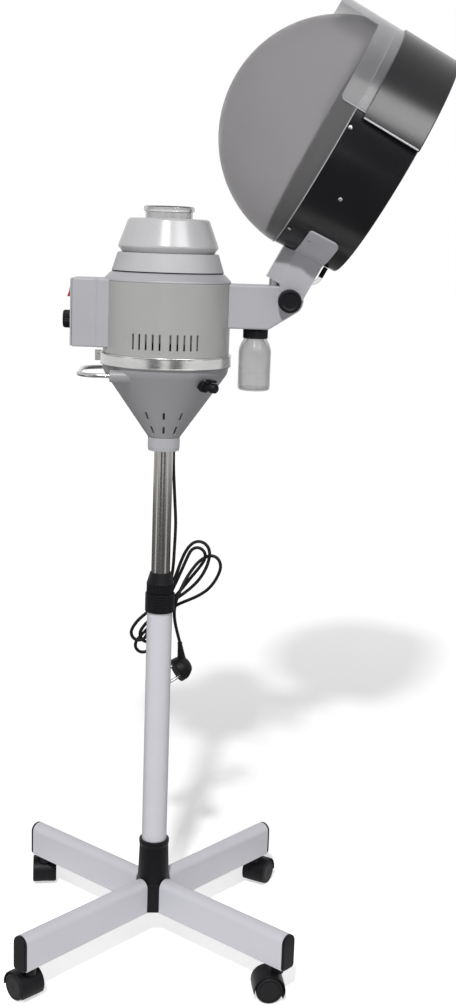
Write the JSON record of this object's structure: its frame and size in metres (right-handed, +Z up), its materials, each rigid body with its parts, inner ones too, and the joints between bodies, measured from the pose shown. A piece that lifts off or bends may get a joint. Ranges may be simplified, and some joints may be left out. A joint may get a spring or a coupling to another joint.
{
  "type": "hair steamer",
  "caption": "Salon hair steamer: boiler head with tilting smoke-dome hood, visor and water jar, on a height-adjustable mast with a rolling cross base",
  "frame": {"origin": "middle of the hub's flat underside, on the mast's axis, 52 mm above the floor", "axes": "+Z up along the mast, +X from the boiler along the steam arm to the hood, +Y to the rear"},
  "size_m": [0.6029, 0.4348, 1.4172],
  "materials": {
    "aluminium": "drawn, satin",
    "black_gloss": "polished black moulding",
    "black_plastic": "fine-grained black moulding",
    "chrome": "polished chrome plate",
    "clear": "clear moulding",
    "clear_glass": "clear glass",
    "dark_rubber": "dull black",
    "funnel_grey": "satin mid grey moulding",
    "housing_grey": "satin grey paint",
    "light_grey": "satin light grey moulding",
    "pearl": "pale translucent moulding",
    "red": "red lit rocker",
    "silver": "silver lacquered moulding",
    "smoke": "smoke-tinted clear moulding",
    "steel": "bright brushed",
    "white_paint": "smooth gloss white powder paint"
  },
  "bodies": {
    "stand": {"base_hub": "black_plastic", "stand_tube": "white_paint", "lock_socket": "black_plastic", "lock_collet": "dark_rubber", "leg_front_right": "white_paint", "leg_rear_right": "white_paint", "leg_rear_left": "white_paint", "leg_front_left": "white_paint", "leg_cap_front_right": "black_plastic", "leg_cap_rear_right": "black_plastic", "leg_cap_rear_left": "black_plastic", "leg_cap_front_left": "black_plastic"},
    "lock_nut": {"lock_nut": "black_plastic"},
    "mast": {"mast_tube": "chrome"},
    "head": {"tube_collar": "light_grey", "funnel_cover": "funnel_grey", "clamp_band": "steel", "main_housing": "housing_grey", "boiler_pot": "aluminium", "heating_element": "steel", "shoulder_cover": "light_grey", "tank_ring": "silver", "control_box": "light_grey", "control_panel": "light_grey", "rocker_bezel": "black_plastic", "timer_unit": "black_plastic", "pull_handle": "chrome", "drain_tap": "black_plastic", "steam_arm": "light_grey", "steam_pipe": "aluminium", "bottle_cap": "black_plastic", "tilt_bolt": "steel", "cord_gland": "dark_rubber", "cord_drop": "dark_rubber", "cord_hank": "dark_rubber", "cord_tail": "dark_rubber", "plug": "black_plastic"},
    "tank": {"glass_jar": "clear_glass", "tank_shroud": "pearl"},
    "power_rocker": {"power_rocker": "red"},
    "timer_knob": {"timer_knob": "black_plastic"},
    "tap_lever": {"tap_lever": "black_plastic"},
    "bottle": {"condensate_bottle": "clear"},
    "tilt_knob": {"tilt_knob": "black_plastic"},
    "hood": {"hood_band": "black_gloss", "hood_dome": "smoke", "visor_cover": "black_gloss", "hood_yoke": "light_grey", "steam_nozzle": "aluminium", "drain_nipple": "black_plastic", "drain_hose": "clear"},
    "visor": {"visor": "clear"},
    "caster_front_right": {"caster_fender_front_right": "black_plastic"},
    "wheels_front_right": {"caster_wheels_front_right": "dark_rubber"},
    "caster_rear_right": {"caster_fender_rear_right": "black_plastic"},
    "wheels_rear_right": {"caster_wheels_rear_right": "dark_rubber"},
    "caster_rear_left": {"caster_fender_rear_left": "black_plastic"},
    "wheels_rear_left": {"caster_wheels_rear_left": "dark_rubber"},
    "caster_front_left": {"caster_fender_front_left": "black_plastic"},
    "wheels_front_left": {"caster_wheels_front_left": "dark_rubber"}
  },
  "joints": [
    {"name": "swivel_front_right", "type": "hinge", "parent": "stand", "child": "caster_front_right", "pos_m": [0.18609, -0.16992, 0], "axis": [0, 0, 1], "continuous": true},
    {"name": "roll_front_right", "type": "hinge", "parent": "caster_front_right", "child": "wheels_front_right", "pos_m": [0.17314, -0.17106, -0.032], "axis": [0.0872, -0.9962, 0], "continuous": true},
    {"name": "swivel_rear_right", "type": "hinge", "parent": "stand", "child": "caster_rear_right", "pos_m": [0.16992, 0.18609, 0], "axis": [0, 0, 1], "continuous": true},
    {"name": "roll_rear_right", "type": "hinge", "parent": "caster_rear_right", "child": "wheels_rear_right", "pos_m": [0.17642, 0.19735, -0.032], "axis": [-0.866, 0.5, 0], "continuous": true},
    {"name": "swivel_rear_left", "type": "hinge", "parent": "stand", "child": "caster_rear_left", "pos_m": [-0.18609, 0.16992, 0], "axis": [0, 0, 1], "continuous": true},
    {"name": "roll_rear_left", "type": "hinge", "parent": "caster_rear_left", "child": "wheels_rear_left", "pos_m": [-0.18722, 0.18288, -0.032], "axis": [-0.9962, -0.0872, 0], "continuous": true},
    {"name": "swivel_front_left", "type": "hinge", "parent": "stand", "child": "caster_front_left", "pos_m": [-0.16992, -0.18609, 0], "axis": [0, 0, 1], "continuous": true},
    {"name": "roll_front_left", "type": "hinge", "parent": "caster_front_left", "child": "wheels_front_left", "pos_m": [-0.17896, -0.17674, -0.032], "axis": [-0.7193, -0.6947, 0], "continuous": true},
    {"name": "lock_nut_turn", "type": "hinge", "parent": "stand", "child": "lock_nut", "pos_m": [0, 0, 0.52], "axis": [0, 0, 1], "range_deg": [0, 180]},
    {"name": "mast_slide", "type": "slide", "parent": "stand", "child": "mast", "axis": [0, 0, 1], "range_m": [-0.16, 0.12]},
    {"name": "head_swivel", "type": "hinge", "parent": "mast", "child": "head", "pos_m": [0, 0, 0.722], "axis": [0, 0, 1], "continuous": true},
    {"name": "tank_lift", "type": "slide", "parent": "head", "child": "tank", "axis": [0, 0, 1], "range_m": [0, 0.1]},
    {"name": "power_press", "type": "hinge", "parent": "head", "child": "power_rocker", "pos_m": [-0.1352, 0, 0.9477], "axis": [0, 1, 0], "range_deg": [-16, 0]},
    {"name": "timer_turn", "type": "hinge", "parent": "head", "child": "timer_knob", "pos_m": [-0.136, 0, 0.9085], "axis": [-1, 0, 0], "range_deg": [0, 300]},
    {"name": "tap_turn", "type": "hinge", "parent": "head", "child": "tap_lever", "pos_m": [0.06219, -0.0796, 0.8293], "axis": [0, 0, 1], "range_deg": [0, 90]},
    {"name": "bottle_unscrew", "type": "hinge", "parent": "head", "child": "bottle", "pos_m": [0.1285, 0, 0.8892], "axis": [0, 0, -1], "range_deg": [0, 360]},
    {"name": "tilt_knob_turn", "type": "hinge", "parent": "head", "child": "tilt_knob", "pos_m": [0.1735, -0.0286, 0.945], "axis": [0, -1, 0], "range_deg": [-360, 0]},
    {"name": "hood_tilt", "type": "hinge", "parent": "head", "child": "hood", "pos_m": [0.1735, 0, 0.945], "axis": [0, 1, 0], "range_deg": [0, 35]},
    {"name": "visor_slide", "type": "slide", "parent": "hood", "child": "visor", "axis": [0.8838, 0, -0.4679], "range_m": [0, 0.085]}
  ]
}
